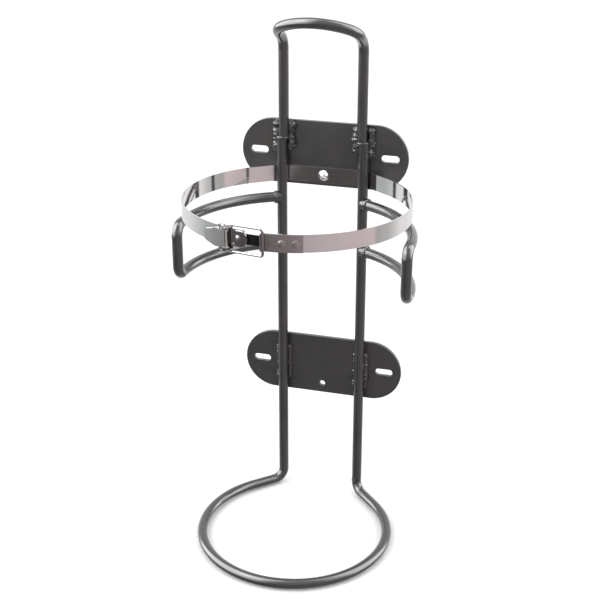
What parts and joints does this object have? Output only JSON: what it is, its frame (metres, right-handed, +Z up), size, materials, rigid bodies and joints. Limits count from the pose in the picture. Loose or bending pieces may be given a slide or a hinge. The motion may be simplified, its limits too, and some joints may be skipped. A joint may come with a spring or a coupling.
{
  "type": "gas cylinder wall holder",
  "caption": "Rod-frame wall holder for a gas cylinder, with a ring foot, cradle arms, slotted wall plates, a top hook and a steel strap closed by a toggle latch.",
  "frame": {"origin": "on the floor plane under the base ring, in the middle of the object's outline", "axes": "+Z up along the uprights, +Y towards the wall that the plates bolt to, +X to the right as seen from the front"},
  "size_m": [0.178, 0.1578, 0.4008],
  "materials": {
    "frame_paint": "satin charcoal black paint on steel rod",
    "plate_paint": "satin charcoal black paint on flat steel",
    "weld_paint": "satin charcoal black paint over uneven weld beads",
    "strap_steel": "polished bright steel strip",
    "catch_steel": "bright steel strip, slightly duller than the strap",
    "latch_steel": "bright plated pressed steel",
    "wire_steel": "bright plated wire",
    "tongue_steel": "steel strip in shadow behind the latch",
    "screw_chrome": "bright polished screw head"
  },
  "bodies": {
    "frame": {"base_ring": "frame_paint", "upright_left": "frame_paint", "upright_right": "frame_paint", "hook_rod": "frame_paint", "cradle_arm_left": "frame_paint", "cradle_arm_right": "frame_paint", "upper_plate": "plate_paint", "lower_plate": "plate_paint", "upper_plate_welds": "weld_paint", "lower_plate_welds": "weld_paint", "cradle_arm_welds": "weld_paint", "hook_butt_welds": "weld_paint", "strap": "strap_steel", "strap_screw": "screw_chrome", "strap_tongue": "tongue_steel", "catch_plate": "catch_steel", "catch_rivets": "catch_steel", "latch_base": "latch_steel", "latch_base_rivet": "latch_steel", "lever_pin": "latch_steel"},
    "lever": {"latch_lever": "latch_steel"},
    "bail": {"bail": "wire_steel"}
  },
  "joints": [
    {"name": "lever_pivot", "type": "hinge", "parent": "frame", "child": "lever", "pos_m": [-0.02646, -0.07527, 0.275], "axis": [0, 0, 1], "range_deg": [0, 140]},
    {"name": "bail_pivot", "type": "hinge", "parent": "lever", "child": "bail", "pos_m": [-0.03181, -0.07258, 0.275], "axis": [0, 0, 1], "range_deg": [-182, 0]}
  ],
  "couplings": [
    {"joint": "bail_pivot", "follows": "lever_pivot", "ratio": -1.3}
  ]
}
